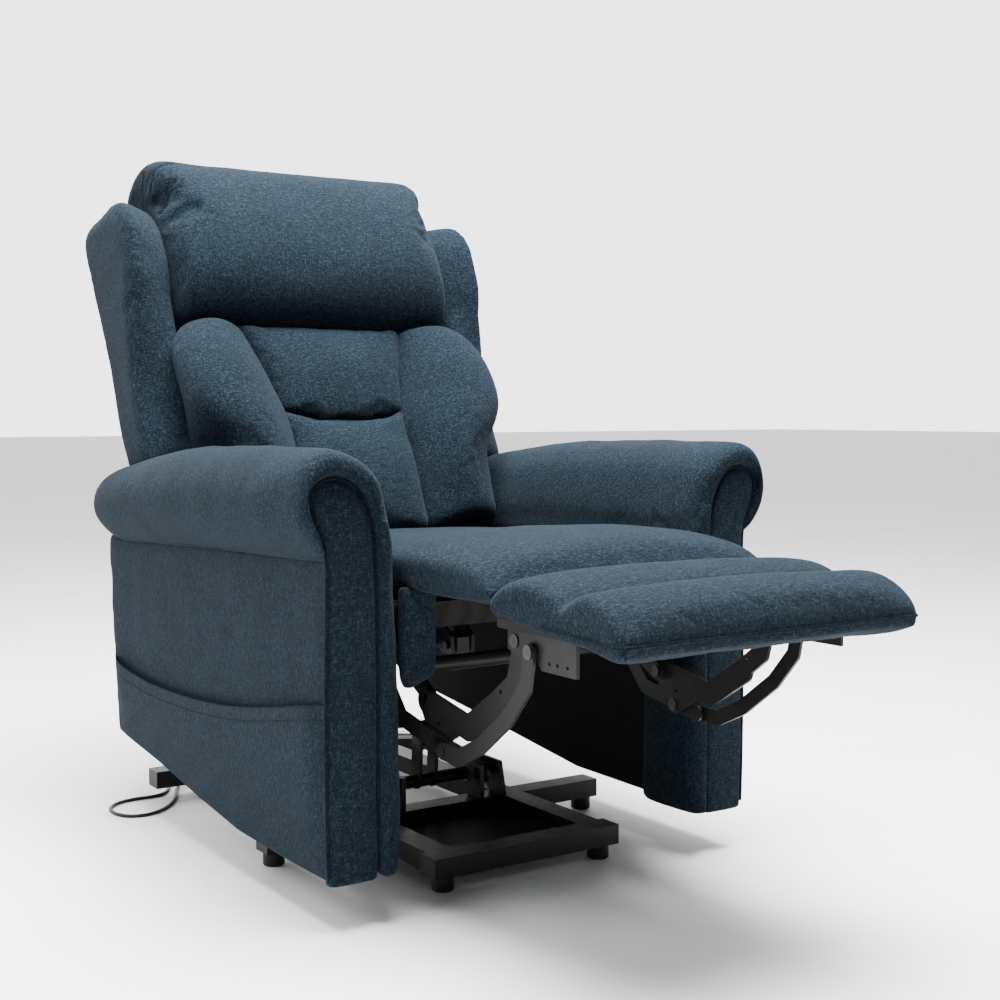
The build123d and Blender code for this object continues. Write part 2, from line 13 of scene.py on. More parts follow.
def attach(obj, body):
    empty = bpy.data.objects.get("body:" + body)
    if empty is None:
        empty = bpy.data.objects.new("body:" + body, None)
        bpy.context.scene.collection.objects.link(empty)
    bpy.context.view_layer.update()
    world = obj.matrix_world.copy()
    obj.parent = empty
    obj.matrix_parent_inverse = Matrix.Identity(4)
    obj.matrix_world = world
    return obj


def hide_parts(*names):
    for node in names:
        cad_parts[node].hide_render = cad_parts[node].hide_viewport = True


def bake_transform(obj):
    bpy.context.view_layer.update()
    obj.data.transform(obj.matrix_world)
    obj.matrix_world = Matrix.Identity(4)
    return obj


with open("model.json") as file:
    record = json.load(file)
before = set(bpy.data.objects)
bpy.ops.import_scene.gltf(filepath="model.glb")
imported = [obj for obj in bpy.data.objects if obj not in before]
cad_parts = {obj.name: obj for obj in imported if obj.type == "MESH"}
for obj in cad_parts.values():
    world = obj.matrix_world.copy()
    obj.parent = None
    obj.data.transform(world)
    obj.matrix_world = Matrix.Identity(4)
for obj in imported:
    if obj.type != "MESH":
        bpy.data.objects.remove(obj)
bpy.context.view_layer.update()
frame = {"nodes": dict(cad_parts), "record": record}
NODES = frame["nodes"]

ORIGIN_Y = 289             # the frame's origin, counted back from the arms' front faces
BACK_FOOT = (545, 481)     # foot of the backrest's own leaning frame, as (y, z)
BACK_LEAN = math.radians(29.1)
SLOTS = {row["node"]: row["material_slot"] for row in frame["record"]["subparts"]}


def point(x, y, z):
    """Point in metres; y is counted back from the arms' front faces."""
    return Vector((x, y - ORIGIN_Y, z)) / 1000


def back_point(x, forward, height):
    """Point on the backrest, from its upright frame to its leaning place."""
    y = BACK_FOOT[0] - forward * math.cos(BACK_LEAN) + height * math.sin(BACK_LEAN)
    z = BACK_FOOT[1] + forward * math.sin(BACK_LEAN) + height * math.cos(BACK_LEAN)
    return point(x, y, z)


def back_vector(x, forward, height):
    return (back_point(x, forward, height) - back_point(0, 0, 0)).normalized()


# ---------------------------------------------------------------- camera

camera = bpy.data.objects.new("camera", bpy.data.cameras.new("camera"))
camera.data.lens = 53.32
camera.data.sensor_width = 36
camera.location = (-1.23189, -1.99243, 0.68435)
camera.rotation_euler = (math.radians(86.601), math.radians(0.07), math.radians(-33.749))
bpy.context.scene.collection.objects.link(camera)
bpy.context.scene.camera = camera


# ---------------------------------------------------------------- meshes

def mesh_object(name, points, faces):
    mesh = bpy.data.meshes.new(name)
    mesh.from_pydata([tuple(p) for p in points], [], faces)
    mesh.update()
    made = bpy.data.objects.new(name, mesh)
    bpy.context.scene.collection.objects.link(made)
    return made


def loft(name, rings):
    """Closed skin over rings of as many points each, with a face over each end."""
    count = len(rings[0])
    points = [p for ring in rings for p in ring]
    faces = []
    for row in range(len(rings) - 1):
        for i in range(count):
            j = (i + 1) % count
            faces.append((row * count + i, row * count + j, (row + 1) * count + j, (row + 1) * count + i))
    faces.append(tuple(reversed(range(count))))
    faces.append(tuple((len(rings) - 1) * count + i for i in range(count)))
    made = mesh_object(name, points, faces)
    skin = bmesh.new()
    skin.from_mesh(made.data)
    bmesh.ops.recalc_face_normals(skin, faces=skin.faces)
    skin.to_mesh(made.data)
    skin.free()
    return made


def prism(name, outline, low, high, place):
    """Outline of (u, v) points extruded between two depths; place turns (depth, u, v) into a point."""
    return loft(name, [[place(depth, u, v) for u, v in outline] for depth in (low, high)])


def smooth_line(points, steps=8, closed=False):
    """Catmull-Rom curve through the points."""
    pts = [np.array(p, float) for p in points]
    count = len(pts)
    spans = count if closed else count - 1
    line = []
    for k in range(spans):
        if closed:
            a, b, c, d = (pts[(k + i) % count] for i in (-1, 0, 1, 2))
        else:
            a, b, c, d = pts[max(k - 1, 0)], pts[k], pts[k + 1], pts[min(k + 2, count - 1)]
        for s in range(steps):
            t = s / steps
            line.append(0.5 * (2 * b + (c - a) * t + (2 * a - 5 * b + 4 * c - d) * t * t
                               + (3 * b - a - 3 * c + d) * t ** 3))
    if not closed:
        line.append(pts[-1])
    return [tuple(p) for p in line]


def along(table, t):
    """Value at t of a table of (t, value) rows, smoothed between them."""
    ts = [row[0] for row in table]
    k = int(np.clip(np.searchsorted(ts, t) - 1, 0, len(ts) - 2))
    s = np.clip((t - ts[k]) / (ts[k + 1] - ts[k]), 0, 1)
    low, high = table[k][1], table[k + 1][1]
    before = table[max(k - 1, 0)]
    after = table[min(k + 2, len(table) - 1)]
    width = ts[k + 1] - ts[k]
    slope_low = (high - before[1]) / (ts[k + 1] - before[0])
    slope_high = (after[1] - low) / (after[0] - ts[k])
    return ((2 * s ** 3 - 3 * s ** 2 + 1) * low + (s ** 3 - 2 * s ** 2 + s) * width * slope_low
            + (3 * s ** 2 - 2 * s ** 3) * high + (s ** 3 - s ** 2) * width * slope_high)


def settle(piece):
    """Apply every modifier of a piece to its mesh."""
    bpy.context.view_layer.update()
    graph = bpy.context.evaluated_depsgraph_get()
    mesh = bpy.data.meshes.new_from_object(piece.evaluated_get(graph))
    piece.modifiers.clear()
    piece.data = mesh
    return piece


def coords(piece):
    values = np.empty(len(piece.data.vertices) * 3)
    piece.data.vertices.foreach_get("co", values)
    return values.reshape(-1, 3)


def normals(piece):
    values = np.empty(len(piece.data.vertices) * 3, np.float32)
    piece.data.vertex_normals.foreach_get("vector", values)
    return values.reshape(-1, 3).astype(float)


def set_coords(piece, values):
    piece.data.vertices.foreach_set("co", values.ravel())
    piece.data.update()


def remesh(piece, voxel, smooth):
    """Even skin of small squares with its edges rounded off."""
    piece.modifiers.new("Even", "REMESH").mode = "VOXEL"
    piece.modifiers["Even"].voxel_size = voxel / 1000
    rounding = piece.modifiers.new("Round", "SMOOTH")
    rounding.factor = 0.5
    rounding.iterations = smooth
    return settle(piece)


PRESSURE = 4
CLOTH_FRAMES = 20


def swell(pieces):
    """Blow up soft pieces together as cloth, each by at most its own cap in millimetres."""
    starts = {}
    for piece, _ in pieces:
        starts[piece.name] = coords(piece)
        cloth = piece.modifiers.new("Cloth", "CLOTH")
        cloth.settings.quality = 5
        cloth.settings.use_pressure = True
        cloth.settings.uniform_pressure_force = PRESSURE
        cloth.settings.effector_weights.gravity = 0
        cloth.point_cache.frame_start = 1
        cloth.point_cache.frame_end = CLOTH_FRAMES
    for number in range(1, CLOTH_FRAMES + 1):
        bpy.context.scene.frame_set(number)
    for piece, cap in pieces:
        settle(piece)
        moved = coords(piece) - starts[piece.name]
        far = np.linalg.norm(moved, axis=1, keepdims=True)
        limit = cap / 1000
        moved *= limit * np.tanh(far / limit) / np.maximum(far, 1e-9)
        set_coords(piece, starts[piece.name] + moved)
    bpy.context.scene.frame_set(1)


def line_distance(at, path, away):
    """Distance of points from a path, seen along one direction."""
    away = np.array(away)
    path = np.array([tuple(p) for p in path])
    at, path = (spots - np.outer(spots @ away, away) for spots in (at, path))
    best = np.full(len(at), 1e9)
    for a, b in zip(path, path[1:]):
        run = b - a
        t = np.clip((at - a) @ run / max(run @ run, 1e-12), 0, 1)
        best = np.minimum(best, np.linalg.norm(at - a - np.outer(t, run), axis=1))
    return best


def groove(piece, path, width, depth, away):
    """Sewn channel along a path of points, on the side of the piece that faces one way."""
    at, out = coords(piece), normals(piece)
    near = line_distance(at, path, away) / (width / 1000)
    share = np.where(near < 1, (1 - near ** 2) ** 2, 0) * np.clip(out @ np.array(away) * 2, 0, 1)
    set_coords(piece, at - np.array(away) * (share * depth / 1000)[:, None])


def rumple(piece, size, depth):
    """Slow unevenness of stuffed cloth, along the skin's own normals."""
    at, out = coords(piece), normals(piece)
    shift = Vector((len(piece.name) * 1.7, 0, 0))
    uneven = np.array([noise.noise(Vector(p) * 1000 / size + shift) for p in at])
    set_coords(piece, at + out * (uneven * depth / 1000)[:, None])


def refine(piece):
    piece.modifiers.new("Fine", "SUBSURF").levels = 1
    settle(piece)
    piece.data.polygons.foreach_set("use_smooth", [True] * len(piece.data.polygons))
    return piece


def rope(name, path, radius):
    """Round cord as a mesh along a path of points."""
    curve = bpy.data.curves.new(name, "CURVE")
    curve.dimensions = "3D"
    curve.bevel_depth = radius / 1000
    curve.bevel_resolution = 2
    curve.use_fill_caps = True
    spline = curve.splines.new("POLY")
    spline.points.add(len(path) - 1)
    for slot, at in zip(spline.points, path):
        slot.co = (*at, 1)
    made = bpy.data.objects.new(name, curve)
    bpy.context.scene.collection.objects.link(made)
    bpy.context.view_layer.update()
    mesh = bpy.data.meshes.new_from_object(made.evaluated_get(bpy.context.evaluated_depsgraph_get()))
    bpy.data.objects.remove(made)
    mesh.polygons.foreach_set("use_smooth", [True] * len(mesh.polygons))
    made = bpy.data.objects.new(name, mesh)
    bpy.context.scene.collection.objects.link(made)
    return made


CAST_FROM = 0.2            # metres off a piece, where the rays onto it start


def skin_tree(piece):
    mesh = piece.data
    return BVHTree.FromPolygons([v.co for v in mesh.vertices], [p.vertices for p in mesh.polygons])


def on_skin(piece, path, away, lift):
    """Path laid onto the side of a piece that faces one way, and lifted off it by a little."""
    tree = skin_tree(piece)
    away = Vector(away)
    laid = []
    for at in path:
        hit = tree.ray_cast(Vector(at) + away * CAST_FROM, -away)[0]
        if hit is None:
            hit = tree.find_nearest(Vector(at))[0]
        laid.append(hit + away * lift / 1000)
    return laid


def mirror_object(piece, name):
    """Copy of a piece on the other side of the chair."""
    mesh = piece.data.copy()
    mesh.transform(Matrix.Diagonal((-1, 1, 1, 1)))
    mesh.flip_normals()
    made = bpy.data.objects.new(name, mesh)
    bpy.context.scene.collection.objects.link(made)
    return made


# ---------------------------------------------------------------- materials

class Shader:
    """Small builder for one node material."""

    def __init__(self, name):
        self.material = bpy.data.materials.new(name)
        self.material.use_nodes = True
        self.tree = self.material.node_tree
        self.surface = self.tree.nodes["Principled BSDF"]
        self.place = self.node("ShaderNodeTexCoord").outputs["Object"]

    def node(self, kind, **settings):
        made = self.tree.nodes.new(kind)
        for name, value in settings.items():
            setattr(made, name, value)
        return made

    def join(self, source, target):
        self.tree.links.new(source, target)

    def scaled(self, scale, turn=(0, 0, 0)):
        mapping = self.node("ShaderNodeMapping")
        mapping.inputs["Scale"].default_value = scale
        mapping.inputs["Rotation"].default_value = [math.radians(a) for a in turn]
        self.join(self.place, mapping.inputs["Vector"])
        return mapping.outputs["Vector"]

    def noise(self, scale, detail=3.0, rough=0.6, where=None):
        made = self.node("ShaderNodeTexNoise")
        made.inputs["Scale"].default_value = scale
        made.inputs["Detail"].default_value = detail
        made.inputs["Roughness"].default_value = rough
        self.join(where or self.place, made.inputs["Vector"])
        return made.outputs["Fac"]

    def wave(self, scale, where=None, direction="X", distortion=0.0):
        made = self.node("ShaderNodeTexWave", bands_direction=direction)
        made.inputs["Scale"].default_value = scale
        made.inputs["Distortion"].default_value = distortion
        made.inputs["Detail Scale"].default_value = 2.0
        self.join(where or self.place, made.inputs["Vector"])
        return made.outputs["Fac"]

    def blend(self, a, b, share=0.5, kind="MIX"):
        made = self.node("ShaderNodeMix", data_type="FLOAT")
        if kind == "MIX":
            made.inputs[0].default_value = share
            self.join(a, made.inputs[2])
            self.join(b, made.inputs[3])
            return made.outputs[0]
        made = self.node("ShaderNodeMath", operation=kind)
        self.join(a, made.inputs[0])
        self.join(b, made.inputs[1])
        return made.outputs[0]

    def ramp(self, value, stops):
        made = self.node("ShaderNodeValToRGB")
        elements = made.color_ramp.elements
        while len(elements) < len(stops):
            elements.new(0.5)
        for element, (at, colour) in zip(elements, stops):
            element.position = at
            element.color = (*colour, 1)
        self.join(value, made.inputs["Fac"])
        return made.outputs["Color"]

    def tint(self, colour, by, share, kind="MULTIPLY"):
        made = self.node("ShaderNodeMix", data_type="RGBA", blend_type=kind)
        made.inputs[0].default_value = share
        self.join(colour, made.inputs[6])
        self.join(by, made.inputs[7])
        return made.outputs[2]

    def bump(self, height, distance, strength=1.0, under=None):
        made = self.node("ShaderNodeBump")
        made.inputs["Distance"].default_value = distance
        made.inputs["Strength"].default_value = strength
        self.join(height, made.inputs["Height"])
        if under is not None:
            self.join(under, made.inputs["Normal"])
        return made.outputs["Normal"]

    def finish(self, colour, rough, normal=None, **sockets):
        self.join(colour, self.surface.inputs["Base Color"])
        if isinstance(rough, float):
            self.surface.inputs["Roughness"].default_value = rough
        else:
            self.join(rough, self.surface.inputs["Roughness"])
        if normal is not None:
            self.join(normal, self.surface.inputs["Normal"])
        for name, value in sockets.items():
            self.surface.inputs[name.replace("_", " ")].default_value = value
        return self.material


def woven(name, dark, middle, light, sheen, tint=(0.55, 0.72, 0.95)):
    """Heathered chenille weave: mottled yarns in rows, short slubs, a slow change of shade, and painted shade
    in its hollows and creases.
    """
    s = Shader(name)
    yarn = s.noise(330, 4.0, 0.7)
    slub = s.noise(1.0, 3.0, 0.65, s.scaled((400, 300, 105), (38, 0, 25)))
    cross = s.noise(1.0, 3.0, 0.65, s.scaled((110, 310, 400), (-30, 20, -35)))
    mottle = s.blend(yarn, s.blend(slub, cross), 0.6)
    colour = s.ramp(mottle, [(0.38, dark), (0.50, middle), (0.62, light)])
    patches = s.ramp(s.noise(9, 3.0), [(0.30, (0.86, 0.87, 0.88)), (0.70, (1.0, 1.0, 1.0))])
    # Painted shade: the cloth's colour darkens in the skin's hollows and creases and is lightest on its ridges,
    # read from pointiness.
    edge_wear_and_crease_shade = s.ramp(s.node("ShaderNodeNewGeometry").outputs["Pointiness"],
                   [(0.44, (0.62, 0.62, 0.64)), (0.50, (0.92, 0.92, 0.92)), (0.56, (1.0, 1.0, 1.0))])
    colour = s.tint(s.tint(colour, patches, 1.0), edge_wear_and_crease_shade, 0.8)
    rumple = s.bump(s.noise(24, 3.0), 0.004, 0.25)
    grain = s.bump(mottle, 0.0035, 1.0, rumple)
    return s.finish(colour, 0.95, grain, Sheen_Weight=sheen, Sheen_Roughness=0.5, Sheen_Tint=(*tint, 1),
                    Specular_IOR_Level=0.06)


def painted(name, dark, light, rough, worn):
    """Powder coat: fine orange peel, dusty patches and edges rubbed paler."""
    s = Shader(name)
    colour = s.ramp(s.noise(14, 4.0), [(0.35, dark), (0.70, light)])
    edge_wear_and_crease_shade = s.ramp(s.node("ShaderNodeNewGeometry").outputs["Pointiness"], [(0.52, (0, 0, 0)), (0.62, worn)])
    colour = s.tint(colour, edge_wear_and_crease_shade, 0.6, "ADD")
    shine = s.node("ShaderNodeMapRange")
    shine.inputs["To Min"].default_value = rough - 0.08
    shine.inputs["To Max"].default_value = rough + 0.12
    s.join(s.noise(40, 3.0), shine.inputs["Value"])
    return s.finish(colour, shine.outputs["Result"], s.bump(s.noise(1400, 2.0), 0.0002, 0.5),
                    Specular_IOR_Level=0.14)


def metal(name, dark, light, rough, streaks):
    s = Shader(name)
    colour = s.ramp(s.noise(60, 4.0), [(0.3, dark), (0.7, light)])
    brushed = s.noise(1.0, 2.0, 0.6, s.scaled(streaks))
    shine = s.node("ShaderNodeMapRange")
    shine.inputs["To Min"].default_value = rough - 0.06
    shine.inputs["To Max"].default_value = rough + 0.12
    s.join(brushed, shine.inputs["Value"])
    return s.finish(colour, shine.outputs["Result"], s.bump(brushed, 0.00008, 0.6), Metallic=1.0)


def moulded(name, dark, light, rough, grain):
    s = Shader(name)
    colour = s.ramp(s.noise(30, 3.0), [(0.3, dark), (0.7, light)])
    return s.finish(colour, rough, s.bump(s.noise(grain, 2.0), 0.00015, 0.5), Specular_IOR_Level=0.25)


def planed(name, dark, light):
    s = Shader(name)
    rings = s.wave(9, s.scaled((1, 0.12, 1)), "X", 6.0)
    fibres = s.noise(1.0, 4.0, 0.7, s.scaled((900, 30, 900)))
    colour = s.ramp(s.blend(rings, fibres, 0.5), [(0.25, dark), (0.75, light)])
    return s.finish(colour, 0.72, s.bump(fibres, 0.0003, 0.5), Specular_IOR_Level=0.15)


def cloth(name, dark, light, pitch):
    """Plain thin cloth or webbing with threads at one pitch."""
    s = Shader(name)
    threads = s.blend(s.wave(pitch, direction="Y"), s.wave(pitch, direction="Z"), kind="MULTIPLY")
    fuzz = s.noise(500, 2.0)
    colour = s.ramp(s.blend(threads, fuzz, 0.6), [(0.3, dark), (0.7, light)])
    rumple = s.bump(s.noise(12, 3.0), 0.004, 0.3)
    return s.finish(colour, 0.95, s.bump(threads, 0.0003, 0.5, rumple), Specular_IOR_Level=0.05)


MATERIALS = {
    "upholstery": woven("upholstery", (0.0015, 0.0030, 0.0048), (0.0046, 0.0094, 0.0145),
                        (0.0172, 0.0298, 0.0408), 0.03),
    "lining_cloth": cloth("lining_cloth", (0.004, 0.004, 0.005), (0.012, 0.012, 0.013), 220),
    "webbing": cloth("webbing", (0.012, 0.012, 0.012), (0.05, 0.05, 0.05), 160),
    "timber": planed("timber", (0.003, 0.0027, 0.0024), (0.009, 0.008, 0.007)),
    "frame_steel": painted("frame_steel", (0.0015, 0.0015, 0.0018), (0.004, 0.004, 0.0045), 0.42,
                           (0.01, 0.01, 0.01)),
    "tray_steel": painted("tray_steel", (0.002, 0.002, 0.0025), (0.006, 0.006, 0.0065), 0.34,
                          (0.02, 0.02, 0.02)),
    "link_steel": painted("link_steel", (0.0010, 0.0011, 0.0012), (0.0026, 0.0027, 0.0030), 0.40,
                          (0.012, 0.012, 0.012)),
    "pin_steel": metal("pin_steel", (0.03, 0.03, 0.033), (0.07, 0.07, 0.075), 0.38, (1500, 90, 90)),
    "foot_plastic": moulded("foot_plastic", (0.002, 0.002, 0.002), (0.005, 0.005, 0.005), 0.55, 900),
    "motor_plastic": moulded("motor_plastic", (0.004, 0.004, 0.0045), (0.009, 0.009, 0.010), 0.5, 1200),
    "rod_steel": metal("rod_steel", (0.55, 0.55, 0.57), (0.68, 0.68, 0.70), 0.16, (30, 1600, 30)),
    "lead_pvc": moulded("lead_pvc", (0.003, 0.003, 0.003), (0.006, 0.006, 0.006), 0.45, 1500),
}
# Piping of the same weave at about half the upholstery's colour: painted shade of the seam lines it runs along.
SHADED_PIPING = woven("piping", (0.0006, 0.0012, 0.002), (0.0024, 0.005, 0.0078), (0.009, 0.015, 0.020), 0.02)
SEWN = woven("sewn_thread", (0.001, 0.002, 0.003), (0.003, 0.006, 0.009), (0.008, 0.012, 0.016), 0.02,
             (0.62, 0.76, 0.95))


def dress(piece, material):
    piece.data.materials.clear()
    piece.data.materials.append(material)


for node, slot in SLOTS.items():
    dress(NODES[node], MATERIALS[slot])


def covers(piece, body, *replaced):
    """A padded, upholstered piece that rides on a body and stands for CAD nodes."""
    dress(piece, MATERIALS["upholstery"])
    if body:
        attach(piece, body)
    if replaced:
        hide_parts(*replaced)


def sewn(piece, body, material):
    """Seam or piping that rides on a body."""
    dress(piece, material)
    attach(piece, body)


# ---------------------------------------------------------------- mains lead

LEAD_THICK = 0.006         # metres
FLOOR_Z = 3.1              # height of the lead's middle where it lies on the floor
LEAD_EXIT = (-184, 862, 34)
LEAD_ROUTE = [
    LEAD_EXIT,
    (-204, 862.5, 31),
    (-222, 858, 15),
    (-238, 845, FLOOR_Z),
    (-252, 818, FLOOR_Z),
    (-266, 783, FLOOR_Z),
    (-284, 747, FLOOR_Z),
    (-310, 713, FLOOR_Z),
    (-346, 688, FLOOR_Z),
    (-381, 692, FLOOR_Z),
    (-398, 722, FLOOR_Z),
    (-396, 762, FLOOR_Z),
    (-372, 791, FLOOR_Z),
    (-336, 801, FLOOR_Z),
    (-300, 797, FLOOR_Z),
    (-272, 812, FLOOR_Z),
    (-255, 845, FLOOR_Z),
    (-240, 885, FLOOR_Z),
    (-212, 912, FLOOR_Z),
    (-182, 928, FLOOR_Z),
    (-158, 944, FLOOR_Z),
]
LEAD_TAIL = [(-66, 960, 10), (-50, 948, 6), (-38, 943.5, 8), (-20, 942, 11)]
COIL = (-110, 948)
COIL_START = 150           # angle at which the lead meets the coil, in degrees
TURNS = 5.25
TURN_POINTS = 16
# The coil's way in turns: radius and height of the lead's middle
COIL_RADIUS = [(0, 39.5), (0.4, 37), (2.3, 25), (2.7, 25), (4.6, 37), (4.9, 36), (TURNS, 36)]
COIL_HEIGHT = [(0, FLOOR_Z), (2.2, FLOOR_Z), (2.6, 9.3), (4.5, 9.3), (4.9, 15.6), (TURNS, 13)]


def coil_points():
    points = []
    for k in range(int(TURNS * TURN_POINTS) + 1):
        done = k / TURN_POINTS
        angle = math.radians(COIL_START - 360 * done)
        radius, height = (np.interp(done, *zip(*table)) for table in (COIL_RADIUS, COIL_HEIGHT))
        points.append((COIL[0] + radius * math.cos(angle), COIL[1] + radius * math.sin(angle), height))
    return points


def make_lead():
    curve = bpy.data.curves.new("mains_lead_flex", "CURVE")
    curve.dimensions = "3D"
    curve.bevel_depth = LEAD_THICK / 2
    curve.bevel_resolution = 4
    curve.use_fill_caps = True
    route = [point(*p) for p in LEAD_ROUTE + coil_points() + LEAD_TAIL]
    spline = curve.splines.new("NURBS")
    spline.points.add(len(route) - 1)
    for slot, at in zip(spline.points, route):
        slot.co = (*at, 1)
    spline.order_u = 3
    spline.use_endpoint_u = True
    spline.resolution_u = 6
    lead = bpy.data.objects.new("mains_lead_flex", curve)
    bpy.context.scene.collection.objects.link(lead)
    dress(lead, MATERIALS["lead_pvc"])
    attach(lead, "base")
    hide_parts("mains_lead", "lead_coil")

    return lead


RELIEF_START = (-172, 862.1, 34.3)
RELIEF_STEP = 2.4
RELIEF_RADIUS = 6.4
RELIEF_RIDGE = 0.7


def make_relief():
    """Tapered, ridged sleeve round the lead where it leaves the supply box."""
    start_x, y, start_z = RELIEF_START
    rings = []
    for k in range(13):
        ridge = RELIEF_RIDGE if k % 3 == 1 else 0.0
        radius = RELIEF_RADIUS - 0.17 * k + ridge
        z = start_z - 0.1 * k
        ring = []
        for i in range(20):
            angle = 2 * math.pi * i / 20
            around = (y + radius * math.cos(angle), z + radius * math.sin(angle))
            ring.append(point(start_x - k * RELIEF_STEP, *around))
        rings.append(ring)
    relief = refine(loft("lead_relief_sleeve", rings))
    dress(relief, MATERIALS["lead_pvc"])
    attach(relief, "base")
    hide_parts("lead_strain_relief")
    return relief


make_lead()
make_relief()


# ---------------------------------------------------------------- backrest

def round_off(inside, reach, depth):
    """Drop of a rounded edge at a distance inside it: the whole depth at the edge, none past the reach."""
    return depth * (1 - math.sqrt(1 - (1 - min(inside / reach, 1)) ** 2))


HEADREST = [(-78, 408), (8, 408), (44, 420), (68, 446), (84, 490), (89, 545), (86, 600), (75, 655), (56, 700),
            (26, 732), (-14, 749), (-62, 753), (-104, 747), (-128, 728), (-134, 696), (-126, 668), (-80, 664)]


HEADREST_HALF = 268
HEADREST_FLARE = 12        # how much wider each side is at the top


def make_headrest():
    """Bolster, a little wider at its top, with ends that shrink in a quarter round."""
    rings = []
    for k in range(37):
        s = -1 + 2 * k / 36
        end = max(0.0, (abs(s) - 0.86) / 0.14)
        tuck = 1 - math.sqrt(1 - end ** 2)
        ring = []
        for forward, height in smooth_line(HEADREST, 3, closed=True):
            wide = HEADREST_HALF + HEADREST_FLARE * np.clip((height - 640) / 60, 0, 1)
            forward = -20 + (forward + 20) * (1 - 0.30 * tuck)
            if height > 560:
                height = 560 + (height - 560) * (1 - 0.18 * tuck)
            ring.append(back_point(s * wide, forward, height))
        rings.append(ring)
    return remesh(loft("headrest_cover", rings), 7, 6)


# Folds where the headrest's cover is gathered at a top corner, as points of (across, forward, height)
GATHERS = [
    [(280, 26, 672), (252, 36, 684), (222, 38, 688)],
    [(294, -14, 688), (272, 8, 712), (242, 14, 736)],
    [(284, 58, 640), (262, 66, 652), (244, 70, 654)],
]


def gather(piece, side):
    """Press the folds into one end of the headrest."""
    for line in GATHERS:
        path = [back_point(side * x, b, a) for x, b, a in smooth_line(line, 4)]
        groove(piece, path, 7.5, 6, back_vector(side * 0.45, 0.63, 0.63))


# Outlines across the backrest are points of (forward, height) in its own frame
WING = [(-144, 150), (-146, 400), (-146, 560), (-145, 636), (-138, 668), (-118, 681), (-86, 678), (-46, 668),
        (0, 652), (32, 630), (50, 602), (60, 568), (59, 520), (51, 470), (39, 415), (26, 350), (12, 285),
        (0, 236), (-10, 190), (-24, 150)]
WING_IN, WING_OUT = 276, 349
# How far a wing's face stands forward of that outline at its outer edge, up the wing
WING_WRAP = [(150, -50), (290, -45), (350, -25), (450, 12), (520, 22), (700, 22)]


def make_wing():
    """Wing with a face that wraps forward towards its outer edge."""
    line = smooth_line(WING, 3, closed=True)
    rings = []
    for x, tuck in ((WING_IN, 0.0), (294, 0.0), (312, 0.0), (330, 0.0), (342, 0.02), (WING_OUT, 0.06)):
        out = (x - WING_IN) / (WING_OUT - WING_IN)
        ring = []
        for b, a in line:
            wrap = along(WING_WRAP, a) * out - 20 * (1 - out) * np.clip((a - 330) / 120, 0, 1)
            front = np.clip((b + 60) / 80, 0, 1)
            ring.append(back_point(x, b + wrap * front + (-60 - b) * tuck, a + (420 - a) * tuck * 0.5))
        rings.append(ring)
    return remesh(loft("right_wing_cover", rings), 7, 7)


# Up the backrest: a lobe's outer edge, the seam beside the centre pads, and how far forward the crest stands
LOBE_OUT = [(-22, 248), (80, 248), (130, 260), (170, 282), (210, 298), (260, 304), (310, 303), (350, 296),
            (380, 286), (404, 270)]
SEAM = [(-22, 110), (60, 116), (130, 119), (200, 121), (290, 138), (403, 166)]
LOBE_FRONT = [(-22, 58), (8, 70), (50, 82), (110, 94), (190, 101), (270, 96), (330, 84), (380, 64), (403, 46)]
SEAM_FRONT = 22
BACK_HIGH = 402            # top of the lobes and of the upper centre pad
BACK_LOW = -12             # foot of the lobes and of the lower centre pad
CREST = 0.6                # where a lobe stands highest, counted from its seam


def make_lobe():
    """Side cushion that rises from its seam to a crest and rolls over at its outer edge."""
    rings = []
    for k in range(27):
        height = BACK_LOW + (BACK_HIGH - BACK_LOW) * k / 26
        low, high = along(SEAM, height) - 1, along(LOBE_OUT, height)
        peak = along(LOBE_FRONT, height)
        tuck = round_off(min(height - BACK_LOW, BACK_HIGH - height), 16, 12)
        ring = []
        for i in range(25):
            t = i / 24
            front = SEAM_FRONT + (peak - SEAM_FRONT) * math.sin(math.pi / 2 * min(1, t / CREST)) ** 0.9
            front -= 12 * max(0.0, t - CREST) / (1 - CREST)
            front -= round_off((1 - t) * (high - low), 32, 34)
            front -= 9 * max(0.0, 1 - t * (high - low) / 7) ** 2
            ring.append(back_point(low + t * (high - low), front - tuck, height))
        flank = min(high, 274)
        rear = np.interp(height, [60, 140], [-40, -112])
        ring.append(back_point(flank, -10, height))
        ring.append(back_point(flank, rear, height))
        ring.append(back_point(low, rear, height))
        rings.append(ring)
    return remesh(loft("right_lobe_cover", rings), 6, 4)


SMILE = 226                # height of the curved seam between the centre pads, at its ends
SMILE_SAG = 24
PAD_REAR = -66


def make_centre_pad(name, foot, top, crown):
    """Pad between the lobes' seams; beside the curved seam its heights sag towards the middle."""
    rings = []
    for k in range(19):
        height = foot + (top - foot) * k / 18
        half = along(SEAM, height) + 2
        tuck = round_off(min(height - foot, top - height), 12, 7)
        puff = math.sin(math.pi * (height - foot) / (top - foot))
        near_smile = max(0.0, 1 - abs(height - SMILE) / 90)
        line = []
        for i in range(21):
            t = i / 20
            front = SEAM_FRONT + crown * puff * math.sin(math.pi * t) ** 0.7 - tuck
            line.append((-half + t * 2 * half, front - round_off(min(t, 1 - t) * 2 * half, 10, 10)))
        line += [(half, PAD_REAR), (-half, PAD_REAR)]
        rings.append([back_point(x, forward, height - SMILE_SAG * (1 - (x / 122) ** 2) * near_smile)
                      for x, forward in line])
    return remesh(loft(name, rings), 6, 3)


REAR_FACES = (-143, -126)


def make_rear_cover():
    """Flat padded panel that closes the backrest's rear."""
    outline = [(-246, 8), (246, 8), (246, 214), (268, 232), (268, 640), (262, 700), (225, 742),
               (-225, 742), (-262, 700), (-268, 640), (-268, 232), (-246, 214)]
    made = prism("rear_cover", outline, *REAR_FACES, lambda b, x, a: back_point(x, b, a))
    return remesh(made, 7, 3)


# ---------------------------------------------------------------- arms

